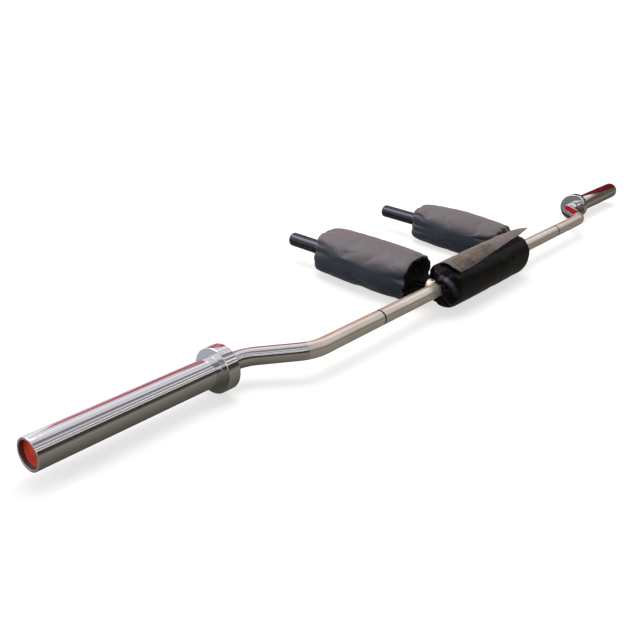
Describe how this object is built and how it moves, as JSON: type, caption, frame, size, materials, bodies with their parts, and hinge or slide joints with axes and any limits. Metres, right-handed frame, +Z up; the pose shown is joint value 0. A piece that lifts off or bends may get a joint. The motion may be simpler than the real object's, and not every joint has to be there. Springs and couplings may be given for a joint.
{
  "type": "safety squat bar",
  "caption": "Long bent steel lifting bar with turning plate sleeves, forward handles on padded shoulder arms, and a padded neck rest with a closing flap.",
  "frame": {"origin": "on the floor, under the middle of the bar's box, with the pads resting on the floor", "axes": "+X along the bar towards the right sleeve, +Y from the neck pad towards the handles, +Z up"},
  "size_m": [2.3, 0.466, 0.1081],
  "materials": {
    "satin_steel": "satin",
    "polished_chrome": "polished",
    "weld_steel": "satin",
    "plain_steel": "satin",
    "bronze": "satin",
    "red_cap": "gloss",
    "black_grip": "satin",
    "foam": "matte",
    "charcoal_nylon": "matte",
    "black_nylon": "matte",
    "flap_fabric": "matte",
    "hook_loop_tape": "matte",
    "elastic": "matte"
  },
  "bodies": {
    "bar": {"centre_shaft": "satin_steel", "crank_left": "polished_chrome", "crank_right": "polished_chrome", "inner_washer_left": "plain_steel", "inner_washer_right": "plain_steel", "outer_washer_left": "plain_steel", "outer_washer_right": "plain_steel", "retaining_ring_left": "plain_steel", "retaining_ring_right": "plain_steel", "arm_tube_left": "satin_steel", "arm_tube_right": "satin_steel", "arm_weld_left": "weld_steel", "arm_weld_right": "weld_steel", "handle_grip_left": "black_grip", "handle_grip_right": "black_grip", "arm_pad_foam_left": "foam", "arm_pad_foam_right": "foam", "arm_pad_cover_left": "charcoal_nylon", "arm_pad_cover_right": "charcoal_nylon", "arm_hem_elastic_left": "elastic", "arm_hem_elastic_right": "elastic", "neck_pad_foam": "foam", "neck_pad_cover": "black_nylon", "neck_hem_elastic": "elastic", "loop_tape": "hook_loop_tape"},
    "sleeve_left": {"sleeve_left": "polished_chrome", "collar_left": "polished_chrome", "inner_bushing_left": "bronze", "outer_bushing_left": "bronze", "end_cap_left": "red_cap"},
    "sleeve_right": {"sleeve_right": "polished_chrome", "collar_right": "polished_chrome", "inner_bushing_right": "bronze", "outer_bushing_right": "bronze", "end_cap_right": "red_cap"},
    "flap": {"neck_flap": "flap_fabric", "hook_tape": "hook_loop_tape"}
  },
  "joints": [
    {"name": "sleeve_spin_left", "type": "hinge", "parent": "bar", "child": "sleeve_left", "pos_m": [-0.9825, -0.107, 0.0435], "axis": [1, 0, 0], "continuous": true},
    {"name": "sleeve_spin_right", "type": "hinge", "parent": "bar", "child": "sleeve_right", "pos_m": [0.9825, -0.107, 0.0435], "axis": [1, 0, 0], "continuous": true},
    {"name": "flap_hinge", "type": "hinge", "parent": "bar", "child": "flap", "pos_m": [0, -0.1621, 0.1015], "axis": [-1, 0, 0], "range_deg": [0, 100]}
  ]
}
